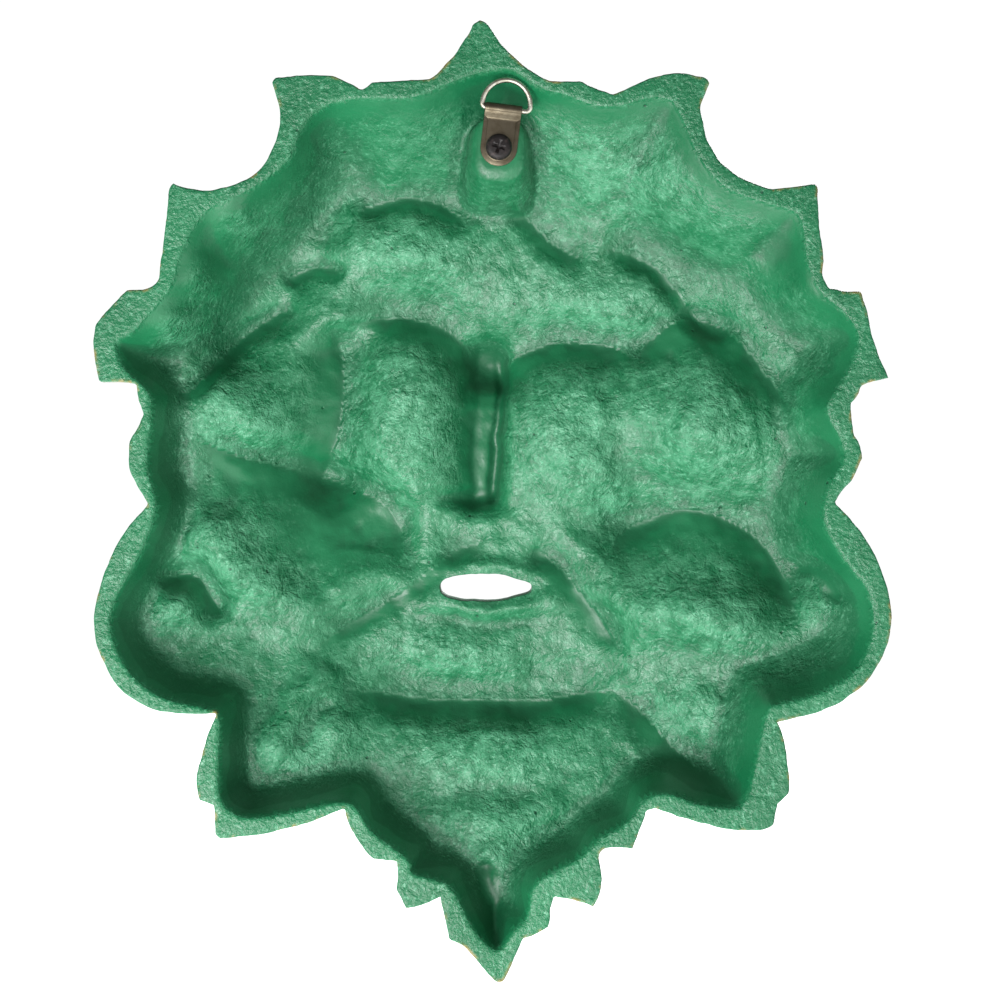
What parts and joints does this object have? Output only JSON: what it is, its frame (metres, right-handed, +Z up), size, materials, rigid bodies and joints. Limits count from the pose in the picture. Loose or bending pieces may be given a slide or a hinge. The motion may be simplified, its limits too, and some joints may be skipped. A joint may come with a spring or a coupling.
{
  "type": "green man mask",
  "caption": "Hollow cast foliate wall mask with open lips, and the strap and swinging ring on its back that it hangs by.",
  "frame": {"origin": "inside of the hanging ring's bow, where the nail carries the mask, on the wall's plane", "axes": "+Z up, +Y into the wall, and the face looks along -Y"},
  "size_m": [0.2109, 0.0641, 0.2539],
  "materials": {
    "painted_casting": "satin green paint over a finely grained cast resin",
    "bronzed_steel": "satin bronze-grey plated strip",
    "nickel_wire": "bright nickel plated wire",
    "black_screw": "black oxide"
  },
  "bodies": {
    "mask": {"mask": "painted_casting", "hanger_strap": "bronzed_steel", "hanger_screw": "black_screw"},
    "ring": {"hanger_ring": "nickel_wire"}
  },
  "joints": [
    {"name": "ring_swing", "type": "hinge", "parent": "mask", "child": "ring", "pos_m": [0.00083, -0.00305, -0.00678], "axis": [0.9925, 0, 0.1219], "range_deg": [-130, 5]}
  ]
}
